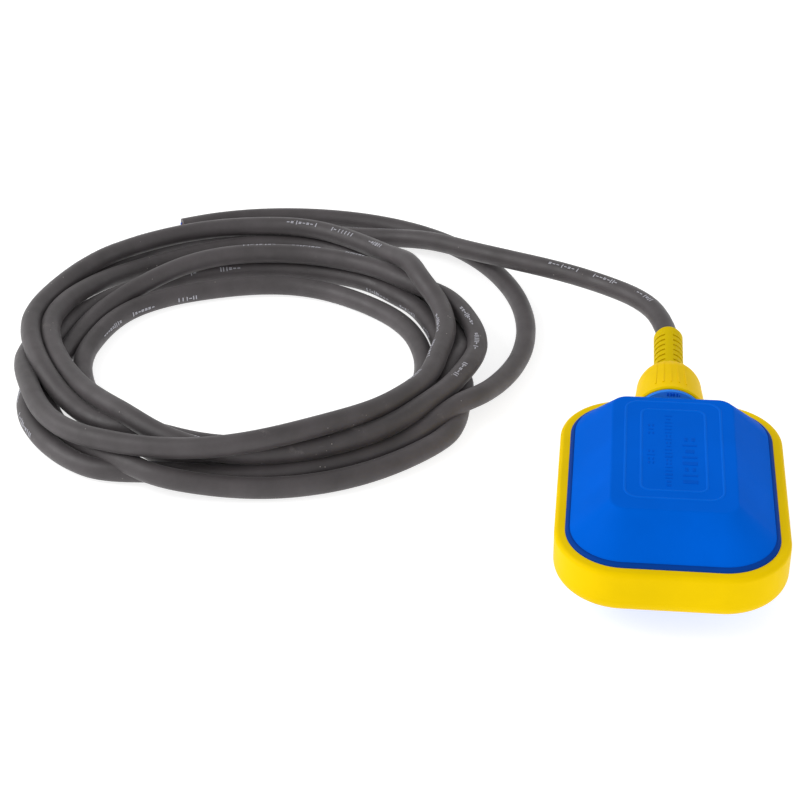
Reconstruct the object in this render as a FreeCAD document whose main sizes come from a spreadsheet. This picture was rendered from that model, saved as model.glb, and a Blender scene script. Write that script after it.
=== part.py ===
import FreeCAD, Part
import math
import os

import Sketcher

# Cable float switch: a flat sealed float with a ball-operated switch inside and a coiled rubber cable.
#
# Frame: +Z up, +Y out along the cable gland, +X to the right. The origin is on the flat face that the
# float rests on, below the middle of its edge band. Millimetres.

Vector = FreeCAD.Vector
Rotation = FreeCAD.Rotation
Placement = FreeCAD.Placement

X_AXIS = Vector(1, 0, 0)
Y_AXIS = Vector(0, 1, 0)
Z_AXIS = Vector(0, 0, 1)

DIMENSIONS = [
    # the float's outer form
    ("float_half_width", 40.5),
    ("float_half_length", 52.25),
    ("float_height", 41.5),
    ("rim_half_width", 36.7),
    ("rim_half_length", 48.5),
    ("rim_radius", 20),
    ("band_radius", 23.8),
    ("band_low", 12),
    ("band_high", 29.5),
    ("band_round_low", 5.5),
    ("band_round_high", 1.6),
    ("plateau_half_width", 21.8),
    ("plateau_front", 31.2),
    ("plateau_back", 37),
    ("plateau_radius", 5.5),
    ("plateau_edge_round", 1.2),
    ("wall", 2.5),
    ("shell_post_radius", 3),
    ("shell_post_height", 7),
    ("shell_post_side", 14),
    ("shell_post_back", 22),
    ("cut_over", 5),
    # the gland, all on one axis at mid height
    ("neck_radius", 8.5),
    ("flange_radius", 10),
    ("flange_start", 43.3),
    ("flange_thick", 1.1),
    ("collar_radius", 13.3),
    ("collar_front", 52.35),
    ("collar_back", 53.8),
    ("thread_radius", 11.4),
    ("thread_end", 66),
    ("thread_pitch", 1.5),
    ("thread_turns", 5),
    ("nut_radius", 14.2),
    ("dome_radius", 12.6),
    ("dome_middle", 71),
    ("nut_end", 81.9),
    ("rib_start", 58.5),
    ("rib_width", 0.6),
    ("rib_height", 0.12),
    ("rib_count", 5),
    ("rib_angle", 12.5),
    ("seal_radius", 7.6),
    ("sleeve_radius", 5.85),
    ("sleeve_end", 112),
    ("slot_rows", 6),
    ("slot_width", 1),
    ("slot_first", 7),
    ("slot_pitch", 3.6),
    ("slot_angle", 58),
    # the cable
    ("cable_radius", 4.2),
    ("jacket_start", 37.2),
    ("core_radius", 1.25),
    ("core_ring", 1.75),
    # the clamp on the jacket inside the float
    ("clamp_half_width", 12.5),
    ("clamp_start", 37.8),
    ("clamp_length", 5),
    ("clamp_low", 17),
    ("clamp_top", 27),
    ("pillar_width", 6.5),
    ("pillar_low", 9.1),
    ("clamp_screw_side", 9.2),
    ("clamp_screw_radius", 1.5),
    # the sealed inner box
    ("box_half_width", 27),
    ("box_front", 39.5),
    ("box_back", 36),
    ("box_radius", 5),
    ("box_low", 9.5),
    ("box_seam", 26),
    ("gasket_thick", 0.8),
    ("box_high", 32),
    ("box_wall", 2),
    ("boss_radius", 3.4),
    ("boss_side", 22.6),
    ("boss_front", 34.4),
    ("boss_back", 31.4),
    ("lid_screw_radius", 1.25),
    ("rib_thick", 3.2),
    # the ball and the track that it runs in
    ("ball_radius", 7),
    ("ball_side", 9),
    ("ball_rest", 27.5),
    ("track_slope", 0.0524),
    ("track_floor", 13.2),
    ("track_gap", 0.2),
    ("track_wall", 1.6),
    ("track_front", 37.3),
    ("track_floor_end", 6.5),
    ("track_cheek_end", 14),
    ("track_height", 20),
    ("bumper_half_width", 6),
    ("bumper_low", 14),
    # the rocker lever
    ("pivot_back", 10),
    ("pivot_up", 14.5),
    ("pin_radius", 1),
    ("pin_gap", 0.05),
    ("lever_hub_radius", 2.4),
    ("lever_plate", 2),
    ("lever_bar_low", 28.3),
    ("lever_bar_thick", 1.3),
    ("lever_reach", 16),
    # the microswitch
    ("switch_left", 8),
    ("switch_thick", 10.3),
    ("switch_front", 2),
    ("switch_length", 27.8),
    ("switch_top", 26.8),
    ("switch_wall", 1.5),
    ("plunger_radius", 1.5),
    ("plunger_back", 16),
    ("plunger_low", 22.6),
    ("plunger_top", 28.1),
    ("blade_front", 4.5),
    ("blade_back", 19.5),
    ("blade_low", 20.8),
    ("blade_thick", 0.3),
    ("contact_radius", 1.3),
    ("screw_front", 1),
    ("screw_back", 23.2),
    ("screw_up", 15),
    ("switch_screw_radius", 1.2),
    ("tab_width", 4.8),
    ("tab_thick", 0.8),
    ("tab_length", 6),
    ("tab_lowest", 17.2),
    ("tab_pitch", 3.6),
    ("barrel_left", 3.5),
    ("barrel_out", 2.4),
    ("barrel_radius", 1.6),
    # the coil, as one ring
    ("coil_middle_x", -160),
    ("coil_middle_y", 126),
    ("coil_top", 27),
    ("coil_round", 4),
]

# The lead from the sleeve's mouth to the coil: the points of its route, in mm.
LEAD_ROUTE = [
    (0.0, 112.0, 20.75),
    (-2.5, 127.0, 20.8),
    (-11.0, 141.5, 20.5),
    (-26.0, 154.0, 19.5),
    (-46.0, 167.0, 18.0),
    (-71.0, 180.5, 15.5),
    (-86.0, 187.5, 14.0),
]

# Reach of the coil's outside and inside from its middle, every 30 degrees from +X, anticlockwise.
COIL_OUTSIDE = [107, 109, 110, 111, 115, 108, 112, 120, 123, 115, 112, 107]
COIL_INSIDE = [47, 36, 33, 33, 38, 48, 68, 84, 86, 86, 80, 65]


def make_sheet(doc):
    """The driving dimensions, one alias to a row."""
    sheet = doc.addObject("Spreadsheet::Sheet", "Sizes")
    for row, (alias, value) in enumerate(DIMENSIONS, start=1):
        sheet.set(f"A{row}", alias.replace("_", " "))
        sheet.set(f"B{row}", str(value))
        sheet.setAlias(f"B{row}", alias)
    doc.recompute()
    return sheet


doc = FreeCAD.newDocument("float_switch")
sheet = make_sheet(doc)
parts = []


def size(expression):
    """The value of a formula of the sheet's dimensions."""
    value = sheet.evalExpression(expression)
    return float(getattr(value, "Value", value))


def linked(expression):
    """A formula with every alias written as the sheet's, for setExpression."""
    words = {alias for alias, _ in DIMENSIONS}
    out = []
    for word in expression.replace("(", " ( ").replace(")", " ) ").split():
        out.append(f"Sizes.{word}" if word in words else word)
    return " ".join(out)


def keep(obj, label):
    """Name a finished sub-part and put it on the list of files to write."""
    obj.Label = label
    parts.append(obj)
    return obj


# ---- helpers for PartDesign bodies -------------------------------------------------------------


def new_body(name):
    return doc.addObject("PartDesign::Body", name)


def origin_plane(body, role):
    return next(f for f in body.Origin.OriginFeatures if f.Role == role)


def new_sketch(body, name, role, offset="0"):
    """A sketch on one of the body's origin planes, raised along the plane's normal by a formula."""
    sketch = body.newObject("Sketcher::SketchObject", name)
    sketch.AttachmentSupport = [(origin_plane(body, role), "")]
    sketch.MapMode = "FlatFace"
    sketch.AttachmentOffset = Placement(Vector(0, 0, size(offset)), Rotation())
    if offset != "0":
        sketch.setExpression("AttachmentOffset.Base.z", linked(offset))
    return sketch


def bind(sketch, kind, geometry, point, expression, name):
    """Fix one coordinate of a point, measured from the sketch's origin, to a formula."""
    index = sketch.addConstraint(Sketcher.Constraint(kind, -1, 1, geometry, point, size(expression)))
    sketch.renameConstraint(index, name)
    sketch.setExpression(f"Constraints.{name}", linked(expression))


def join_ends(sketch, first, count):
    """Join the end of each piece of a closed outline to the start of the next."""
    for i in range(count):
        following = (i + 1) % count
        sketch.addConstraint(Sketcher.Constraint("Coincident", first + i, 2, first + following, 1))


def polygon(sketch, corners):
    """A closed outline of straight lines through corners given as pairs of formulas."""
    first = sketch.GeometryCount
    points = [Vector(size(x), size(y), 0) for x, y in corners]
    for start, end in zip(points, points[1:] + points[:1]):
        sketch.addGeometry(Part.LineSegment(start, end), False)
    join_ends(sketch, first, len(points))
    for i, (x, y) in enumerate(corners):
        bind(sketch, "DistanceX", first + i, 1, x, f"px{i}")
        bind(sketch, "DistanceY", first + i, 1, y, f"py{i}")


def domed_polygon(sketch, corners, middle, end):
    """A closed outline whose first side is an arc about a point on the second axis.

    The arc starts at the first corner and stops at the height called end. Straight lines run from
    there through the other corners and back.
    """
    centre = Vector(0, size(middle), 0)
    points = [Vector(size(x), size(y), 0) for x, y in corners]
    radius = points[0].x
    rise = size(end) - centre.y
    arc = Part.ArcOfCircle(Part.Circle(centre, Z_AXIS, radius), 0, math.asin(rise / radius))
    sketch.addGeometry(arc, False)
    following = [arc.EndPoint, *points[1:], points[0]]
    for line_start, line_end in zip(following, following[1:]):
        sketch.addGeometry(Part.LineSegment(line_start, line_end), False)
    join_ends(sketch, 0, len(points) + 1)
    bind(sketch, "DistanceX", 0, 3, "0", "middle_x")
    bind(sketch, "DistanceY", 0, 3, middle, "middle_y")
    bind(sketch, "DistanceY", 0, 2, end, "arc_end")
    for i, (x, y) in enumerate(corners):
        geometry = 0 if i == 0 else i + 1
        bind(sketch, "DistanceX", geometry, 1, x, f"px{i}")
        bind(sketch, "DistanceY", geometry, 1, y, f"py{i}")


def circle(sketch, x, y, radius, prefix="c"):
    index = sketch.addGeometry(Part.Circle(Vector(size(x), size(y), 0), Z_AXIS, size(radius)), False)
    bind(sketch, "DistanceX", index, 3, x, f"{prefix}x")
    bind(sketch, "DistanceY", index, 3, y, f"{prefix}y")
    fixed = sketch.addConstraint(Sketcher.Constraint("Radius", index, size(radius)))
    sketch.renameConstraint(fixed, f"{prefix}r")
    sketch.setExpression(f"Constraints.{prefix}r", linked(radius))


def rounded_rectangle(sketch, half_width, front, back, radius, prefix="r"):
    """A rectangle from -half_width to half_width and from -front to back, with round corners."""
    first = sketch.GeometryCount
    corner = size(radius)
    side = size(half_width) - corner
    high = size(back) - corner
    low = -size(front) + corner
    ends = []
    for turn, (x, y) in enumerate(((side, high), (-side, high), (-side, low), (side, low))):
        start = turn * math.pi / 2
        arc = Part.ArcOfCircle(Part.Circle(Vector(x, y, 0), Z_AXIS, corner), start, start + math.pi / 2)
        sketch.addGeometry(arc, False)
        ends.append((arc.StartPoint, arc.EndPoint))
    for i in range(4):
        sketch.addGeometry(Part.LineSegment(ends[i][1], ends[(i + 1) % 4][0]), False)
    for i in range(4):
        sketch.addConstraint(Sketcher.Constraint("Tangent", first + i, 2, first + 4 + i, 1))
        sketch.addConstraint(Sketcher.Constraint("Tangent", first + 4 + i, 2, first + (i + 1) % 4, 1))
    for i in (1, 2, 3):
        sketch.addConstraint(Sketcher.Constraint("Equal", first, first + i))
    for i, kind in enumerate(("Horizontal", "Vertical", "Horizontal", "Vertical")):
        sketch.addConstraint(Sketcher.Constraint(kind, first + 4 + i))
    bind(sketch, "DistanceX", first, 1, half_width, f"{prefix}w")
    bind(sketch, "DistanceX", first + 2, 1, f"- ( {half_width} )", f"{prefix}v")
    bind(sketch, "DistanceY", first, 2, back, f"{prefix}b")
    bind(sketch, "DistanceY", first + 2, 2, f"- ( {front} )", f"{prefix}f")
    fixed = sketch.addConstraint(Sketcher.Constraint("Radius", first, corner))
    sketch.renameConstraint(fixed, f"{prefix}r")
    sketch.setExpression(f"Constraints.{prefix}r", linked(radius))


def pad(body, sketch, length, name, midplane=False, reverse=False):
    feature = body.newObject("PartDesign::Pad", name)
    feature.Profile = sketch
    feature.setExpression("Length", linked(length))
    feature.Midplane = midplane
    feature.Reversed = reverse
    return feature


def pocket(body, sketch, length, name, midplane=False, reverse=False):
    """Cut a sketch's outline, and stop if it took nothing away."""
    doc.recompute()
    before = body.Shape.Volume
    feature = body.newObject("PartDesign::Pocket", name)
    feature.Profile = sketch
    feature.setExpression("Length", linked(length))
    feature.Midplane = midplane
    feature.Reversed = reverse
    doc.recompute()
    if body.Shape.Volume > before - 1e-3:
        raise RuntimeError(f"{body.Name}: {name} cuts nothing")
    return feature


def loft(body, lower, upper, name, kind="PartDesign::AdditiveLoft"):
    feature = body.newObject(kind, name)
    feature.Profile = lower
    feature.Sections = [upper]
    feature.Ruled = True
    return feature


def round_level(body, base, height, radius, name):
    """Round all the edges of the newest feature that lie at one height."""
    doc.recompute()
    level = size(height)
    names = []
    for i, edge in enumerate(base.Shape.Edges, start=1):
        middle = edge.valueAt((edge.FirstParameter + edge.LastParameter) / 2)
        if abs(middle.z - level) < 0.01:
            names.append(f"Edge{i}")
    feature = body.newObject("PartDesign::Fillet", name)
    feature.Base = (base, names)
    feature.setExpression("Radius", linked(radius))
    return feature


def turned(name, corners, dome=None):
    """A body turned about the gland's axis: corners are pairs of formulas, radius and Y.

    A dome is the arc's middle and end, for an outline that starts with one.
    """
    body = new_body(name)
    sketch = new_sketch(body, f"{name}_profile", "XY_Plane")
    if dome:
        domed_polygon(sketch, corners, *dome)
    else:
        polygon(sketch, corners)
    feature = body.newObject("PartDesign::Revolution", f"{name}_turn")
    feature.Profile = sketch
    feature.ReferenceAxis = (sketch, ["V_Axis"])
    feature.Angle = 360
    body.Placement = Placement(Vector(0, 0, size("float_height / 2")), Rotation())
    body.setExpression("Placement.Base.z", linked("float_height / 2"))
    return body


def turn_pattern(body, feature, count, name, angle=360):
    """Repeat a feature evenly about the body's Y axis."""
    pattern = body.newObject("PartDesign::PolarPattern", name)
    pattern.Originals = [feature]
    pattern.Axis = (origin_plane(body, "Y_Axis"), [""])
    pattern.Angle = angle
    pattern.Occurrences = count
    body.Tip = pattern
    return pattern


# ---- helpers for Part objects ------------------------------------------------------------------


def solid_box(name, x, y, z):
    """A Part::Box from three pairs of formulas, each a low and a high side."""
    box = doc.addObject("Part::Box", name)
    for prop, axis, (low, high) in (("Length", "x", x), ("Width", "y", y), ("Height", "z", z)):
        box.setExpression(prop, linked(f"( {high} ) - ( {low} )"))
        box.setExpression(f"Placement.Base.{axis}", linked(low))
    return box


def solid_rod(name, start, radius, length, axis):
    """A Part::Cylinder from a point given as three formulas, along an axis."""
    rod = doc.addObject("Part::Cylinder", name)
    rod.Placement = Placement(Vector(0, 0, 0), Rotation(Z_AXIS, axis))
    for letter, formula in zip("xyz", start):
        rod.setExpression(f"Placement.Base.{letter}", linked(formula))
    rod.setExpression("Radius", linked(radius))
    rod.setExpression("Height", linked(length))
    return rod


def cut(name, base, tools):
    """Cut a list of tools from a base."""
    tool = tools[0]
    if len(tools) > 1:
        tool = doc.addObject("Part::MultiFuse", f"{name}_tools")
        tool.Shapes = tools
    result = doc.addObject("Part::Cut", name)
    result.Base = base
    result.Tool = tool
    return result


def fuse(name, pieces):
    result = doc.addObject("Part::MultiFuse", name)
    result.Shapes = pieces
    result.Refine = True
    return result


def shaped(name, shape):
    """A Part::Feature for what neither a body nor a primitive makes."""
    feature = doc.addObject("Part::Feature", name)
    feature.Shape = shape
    return feature


def bent_tube(points, radius, report=False):
    """A tube along straight runs joined by tangent arcs, each as large as its runs allow."""
    points = [Vector(*p) for p in points]
    edges = []
    radii = []
    start = points[0]
    for before, corner, after in zip(points, points[1:], points[2:]):
        incoming = (corner - before).normalize()
        outgoing = (after - corner).normalize()
        shorter = min((corner - before).Length, (after - corner).Length)
        half_turn = incoming.getAngle(outgoing) / 2
        back = 0.45 * shorter
        arc_radius = back / math.tan(half_turn)
        arc_start = corner - incoming * back
        arc_end = corner + outgoing * back
        inward = (outgoing - incoming).normalize()
        middle = corner + inward * (arc_radius / math.cos(half_turn) - arc_radius)
        edges.append(Part.LineSegment(start, arc_start).toShape())
        edges.append(Part.Arc(arc_start, middle, arc_end).toShape())
        radii.append(arc_radius)
        start = arc_end
    edges.append(Part.LineSegment(start, points[-1]).toShape())
    path = Part.Wire(edges)
    circle_edge = Part.makeCircle(radius, points[0], points[1] - points[0])
    tube = path.makePipeShell([Part.Wire(circle_edge)], True, False)
    expected = math.pi * radius**2 * path.Length
    if abs(tube.Volume - expected) > 0.01 * expected:
        raise RuntimeError("a tube's volume isn't its section times its length")
    if report:
        print("arc radii, mm:", [round(r, 1) for r in radii], "length", round(path.Length, 1))
    return tube


# ---- the float's shells and edge band ----------------------------------------------------------


def half_shell(label):
    """One half shell: an upright rim at the seam, a sloping roof and a flat plateau, hollow inside."""
    body = new_body(label)
    seam = "float_height / 2"
    rim_sizes = ["rim_half_width", "rim_half_length", "rim_half_length", "rim_radius"]
    plateau_sizes = ["plateau_half_width", "plateau_front", "plateau_back", "plateau_radius"]
    inner_rim_sizes = [f"{name} - wall" for name in rim_sizes]
    ceiling_sizes = [f"{name} - wall / 2" for name in plateau_sizes]

    rim = new_sketch(body, f"{label}_rim", "XY_Plane", seam)
    rounded_rectangle(rim, *rim_sizes)
    pad(body, rim, "band_high - float_height / 2", f"{label}_rim_pad")

    eaves = new_sketch(body, f"{label}_eaves", "XY_Plane", "band_high")
    rounded_rectangle(eaves, *rim_sizes)
    plateau = new_sketch(body, f"{label}_plateau", "XY_Plane", "float_height")
    rounded_rectangle(plateau, *plateau_sizes)
    roof = loft(body, eaves, plateau, f"{label}_roof")

    body.Tip = round_level(body, roof, "float_height", "plateau_edge_round", f"{label}_round")

    inner_eaves = new_sketch(body, f"{label}_inner_eaves", "XY_Plane", "band_high")
    rounded_rectangle(inner_eaves, *inner_rim_sizes)
    ceiling = new_sketch(body, f"{label}_ceiling", "XY_Plane", "float_height - wall")
    rounded_rectangle(ceiling, *ceiling_sizes)
    hollow = loft(body, inner_eaves, ceiling, f"{label}_hollow", "PartDesign::SubtractiveLoft")
    body.Tip = hollow

    inner_rim = new_sketch(body, f"{label}_inner_rim", "XY_Plane", seam)
    rounded_rectangle(inner_rim, *inner_rim_sizes)
    pocket(body, inner_rim, "band_high - float_height / 2", f"{label}_hollow_rim", reverse=True)

    neck_hole = new_sketch(body, f"{label}_neck_hole", "XZ_Plane", "- rim_half_length - cut_over")
    circle(neck_hole, "0", seam, "neck_radius")
    pocket(body, neck_hole, "wall + 2 * cut_over", f"{label}_neck_cut", reverse=True)

    posts = new_sketch(body, f"{label}_posts", "XY_Plane", "float_height - wall / 2")
    for i, (x_sign, y_sign) in enumerate((("", ""), ("-", ""), ("", "-"), ("-", "-"))):
        x = f"{x_sign} shell_post_side"
        y = f"{y_sign} shell_post_back"
        circle(posts, x, y, "shell_post_radius", f"post{i}")
    pad(body, posts, "shell_post_height + wall / 2", f"{label}_post_pad", reverse=True)
    return body


def turn_over(body):
    """Turn a half shell over about the gland's axis, so that it becomes the lower one."""
    body.Placement = Placement(Vector(0, 0, size("float_height")), Rotation(Y_AXIS, 180))
    body.setExpression("Placement.Base.z", linked("float_height"))


def edge_band():
    """The soft moulded band round the seam, tall in front and drawn in towards its lower edge."""
    body = new_body("edge_band")
    outside = new_sketch(body, "band_outside", "XY_Plane", "band_low")
    rounded_rectangle(outside, "float_half_width", "float_half_length", "float_half_length", "band_radius")
    block = pad(body, outside, "band_high - band_low", "band_block")
    under = round_level(body, block, "band_low", "band_round_low", "band_under")
    over = round_level(body, under, "band_high", "band_round_high", "band_over")
    body.Tip = over
    inside = new_sketch(body, "band_inside", "XY_Plane", "band_low")
    rounded_rectangle(inside, "rim_half_width", "rim_half_length", "rim_half_length", "rim_radius")
    pocket(body, inside, "band_high - band_low", "band_opening", reverse=True)
    neck_hole = new_sketch(body, "band_neck_hole", "XZ_Plane", "- float_half_length - cut_over")
    circle(neck_hole, "0", "float_height / 2", "neck_radius")
    depth = "float_half_length - rim_half_length + 2 * cut_over"
    pocket(body, neck_hole, depth, "band_neck_cut", reverse=True)
    return body


# ---- the gland ---------------------------------------------------------------------------------


def gland_spigot():
    """Threaded neck with a collar outside the float and a flange inside it."""
    body = turned(
        "gland_spigot",
        [
            ("cable_radius + 0.15", "flange_start"),
            ("flange_radius", "flange_start"),
            ("flange_radius", "flange_start + flange_thick"),
            ("neck_radius + 0.3", "rim_half_length - wall"),
            ("neck_radius", "rim_half_length - wall"),
            ("neck_radius", "collar_front"),
            ("collar_radius", "collar_front"),
            ("collar_radius", "collar_back"),
            ("thread_radius - 1", "collar_back"),
            ("thread_radius - 1", "collar_back + 1"),
            ("thread_radius", "collar_back + 2"),
            ("thread_radius", "thread_end - 1"),
            ("thread_radius - 1", "thread_end"),
            ("seal_radius", "thread_end"),
            ("seal_radius", "thread_end - 9"),
            ("cable_radius + 0.15", "thread_end - 10"),
        ],
    )
    ring = new_sketch(body, "thread_ring", "XY_Plane")
    polygon(
        ring,
        [
            ("thread_radius + 0.1", "collar_back + 2.8"),
            ("thread_radius - 0.7", "collar_back + 3.4"),
            ("thread_radius + 0.1", "collar_back + 4"),
        ],
    )
    groove = body.newObject("PartDesign::Groove", "thread_groove")
    groove.Profile = ring
    groove.ReferenceAxis = (ring, ["V_Axis"])
    groove.Angle = 360
    turns = body.newObject("PartDesign::LinearPattern", "thread_turns")
    turns.Originals = [groove]
    turns.Direction = (ring, ["V_Axis"])
    turns.Occurrences = int(size("thread_turns"))
    turns.setExpression("Length", linked("( thread_turns - 1 ) * thread_pitch"))
    body.Tip = turns
    return body


def gland_nut():
    """Domed compression nut over the spigot's thread, with five fine ribs on its top and under it."""
    body = turned(
        "gland_nut",
        [
            ("dome_radius", "dome_middle"),
            ("sleeve_radius + 0.15", "nut_end"),
            ("sleeve_radius + 0.15", "nut_end - 7"),
            ("seal_radius + 0.6", "thread_end + 3"),
            ("thread_radius + 0.1", "thread_end + 1"),
            ("thread_radius + 0.1", "collar_back + 0.1"),
            ("nut_radius - 0.5", "collar_back + 0.1"),
            ("nut_radius", "collar_back + 0.7"),
        ],
        dome=("dome_middle", "nut_end"),
    )
    for side in (0, 180):
        outline = new_sketch(body, f"nut_rib_{side}", "XY_Plane")
        outline.AttachmentOffset = Placement(Vector(0, 0, 0), Rotation(Y_AXIS, side))
        domed_polygon(
            outline,
            [
                ("dome_radius + rib_height", "dome_middle"),
                ("dome_radius - 0.6", "dome_middle"),
                ("nut_radius - 1.5", "rib_start"),
                ("nut_radius - 0.1", "rib_start"),
            ],
            "dome_middle",
            "nut_end - 1.5",
        )
        rib = pad(body, outline, "rib_width", f"nut_rib_pad_{side}", midplane=True)
        fan = size("( rib_count - 1 ) * rib_angle")
        turn_pattern(body, rib, int(size("rib_count")), f"nut_rib_fan_{side}", fan)
    body.Placement = Placement(body.Placement.Base, Rotation(Y_AXIS, -90 - fan / 2))
    body.setExpression("Placement.Base.z", linked("float_height / 2"))
    return body


def strain_relief():
    """Soft sleeve over the cable, held by its flange inside the nut, with rows of short slots."""
    body = turned(
        "strain_relief",
        [
            ("cable_radius + 0.05", "thread_end + 2.2"),
            ("seal_radius - 0.4", "thread_end + 2.2"),
            ("seal_radius - 0.4", "thread_end + 3.6"),
            ("sleeve_radius - 0.05", "thread_end + 6.5"),
            ("sleeve_radius", "sleeve_end - 1.6"),
            ("sleeve_radius - 0.7", "sleeve_end"),
            ("cable_radius + 0.05", "sleeve_end"),
        ],
    )
    rows = int(size("slot_rows"))
    for row in range(rows):
        middle = f"sleeve_end - slot_first - {row} * slot_pitch"
        slot = new_sketch(body, f"slot_{row}", "XY_Plane")
        polygon(
            slot,
            [
                ("cable_radius + 0.5", f"{middle} - slot_width / 2"),
                ("sleeve_radius + 0.5", f"{middle} - slot_width / 2"),
                ("sleeve_radius + 0.5", f"{middle} + slot_width / 2"),
                ("cable_radius + 0.5", f"{middle} + slot_width / 2"),
            ],
        )
        groove = body.newObject("PartDesign::Groove", f"slot_cut_{row}")
        groove.Profile = slot
        groove.ReferenceAxis = (slot, ["V_Axis"])
        groove.setExpression("Angle", linked("slot_angle"))
        groove.Midplane = True
        turn_pattern(body, groove, 4, f"slot_ring_{row}")
    body.Placement = Placement(body.Placement.Base, Rotation(Y_AXIS, 45))
    body.setExpression("Placement.Base.z", linked("float_height / 2"))
    return body


def gland_seal():
    return turned(
        "gland_seal",
        [
            ("cable_radius + 0.02", "thread_end - 8.9"),
            ("seal_radius - 0.1", "thread_end - 8.9"),
            ("seal_radius - 0.1", "thread_end + 0.4"),
            ("cable_radius + 0.02", "thread_end + 0.4"),
        ],
    )


def gland_washer():
    return turned(
        "gland_washer",
        [
            ("cable_radius + 0.1", "thread_end + 0.5"),
            ("seal_radius + 0.4", "thread_end + 0.5"),
            ("seal_radius + 0.4", "thread_end + 2.1"),
            ("cable_radius + 0.1", "thread_end + 2.1"),
        ],
    )


# ---- the cable inside the float ----------------------------------------------------------------


def cable_entry():
    """The jacket from its stripped end inside the float to the sleeve's mouth."""
    return solid_rod(
        "cable_entry",
        ("0", "jacket_start", "float_height / 2"),
        "cable_radius",
        "sleeve_end - jacket_start",
        Y_AXIS,
    )


CLAMP_SCREW_Y = "clamp_start + clamp_length / 2"


def cable_clamp():
    """Block with a round channel that grips the jacket just inside the neck, on two pillars."""
    middle = "float_height / 2"
    along = ("clamp_start", "clamp_start + clamp_length")
    block = solid_box(
        "clamp_block", ("- clamp_half_width", "clamp_half_width"), along, ("clamp_low", "clamp_top")
    )
    left = ("- clamp_half_width", "- clamp_half_width + pillar_width")
    right = ("clamp_half_width - pillar_width", "clamp_half_width")
    pillars = [
        solid_box(f"clamp_pillar_{i}", across, along, ("pillar_low", "clamp_low"))
        for i, across in enumerate((left, right))
    ]
    channel = solid_rod(
        "clamp_channel", ("0", "clamp_start - 1", middle), "cable_radius", "clamp_length + 2", Y_AXIS
    )
    below = solid_box(
        "clamp_mouth",
        ("- cable_radius", "cable_radius"),
        ("clamp_start - 1", "clamp_start + clamp_length + 1"),
        ("clamp_low - 1", middle),
    )
    hole_starts = [(x, CLAMP_SCREW_Y, "pillar_low + 3") for x in ("- clamp_screw_side", "clamp_screw_side")]
    holes = [
        solid_rod(f"clamp_hole_{i}", start, "clamp_screw_radius", "16", Z_AXIS)
        for i, start in enumerate(hole_starts)
    ]
    return cut("cable_clamp", fuse("clamp_body", [block, *pillars]), [channel, below, *holes])


def screw(at, shank_radius, shank_length, head_radius, head_height, direction):
    """A screw with a slotted head: the head's underside is at the point given, the head points along
    the direction and the shank the other way."""
    slot_length = 2.4 * head_radius
    slot_width = 0.35 * head_radius
    slot_depth = head_height / 2
    slot_corner = Vector(-slot_length / 2, -slot_width / 2, head_height - slot_depth)
    shank = Part.makeCylinder(shank_radius, shank_length, Vector(0, 0, -shank_length))
    head = Part.makeCylinder(head_radius, head_height)
    slot = Part.makeBox(slot_length, slot_width, slot_depth, slot_corner)
    solid = shank.fuse(head).cut(slot).removeSplitter()
    solid.Placement = Placement(Vector(*at), Rotation(Z_AXIS, direction))
    return solid


def clamp_screws():
    side = size("clamp_screw_side")
    back = size(CLAMP_SCREW_Y)
    top = size("clamp_top")
    radius = size("clamp_screw_radius")
    screws = [screw((x, back, top), radius, 13, 2.5, 1.6, Z_AXIS) for x in (-side, side)]
    return shaped("clamp_screws", Part.makeCompound(screws))


def core_places():
    """Where the three cores leave the jacket's end, and the height of the tab each one goes to."""
    middle = size("float_height / 2")
    ring = size("core_ring")
    places = []
    for level, angle in enumerate((210, 330, 90)):
        x = ring * math.cos(math.radians(angle))
        z = middle + ring * math.sin(math.radians(angle))
        places.append((x, z, size(f"tab_lowest + {level} * tab_pitch")))
    return places


def core(label, place):
    """One insulated core, from its crimp to the stripped end of the jacket."""
    x, z, tab_z = place
    y_end = size("jacket_start")
    y_barrel = size("switch_length - switch_front + barrel_out")
    route = [
        (size("barrel_left"), y_barrel, tab_z),
        (x - 0.8, y_barrel + 0.3, tab_z),
        (x, y_end - 3.7, z),
        (x, y_end, z),
    ]
    return shaped(label, bent_tube(route, size("core_radius")))


# ---- the sealed inner box ----------------------------------------------------------------------


def boss_spots():
    side = "boss_side"
    return [
        (side, "- boss_front"),
        (f"- {side}", "- boss_front"),
        (side, "boss_back"),
        (f"- {side}", "boss_back"),
    ]


def box_outline(sketch, inset="0"):
    rounded_rectangle(
        sketch,
        f"box_half_width - {inset}",
        f"box_front - {inset}",
        f"box_back - {inset}",
        f"box_radius - {inset} * 0.9",
    )


SWITCH_SCREW_Y = ("screw_front", "screw_back")


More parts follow.
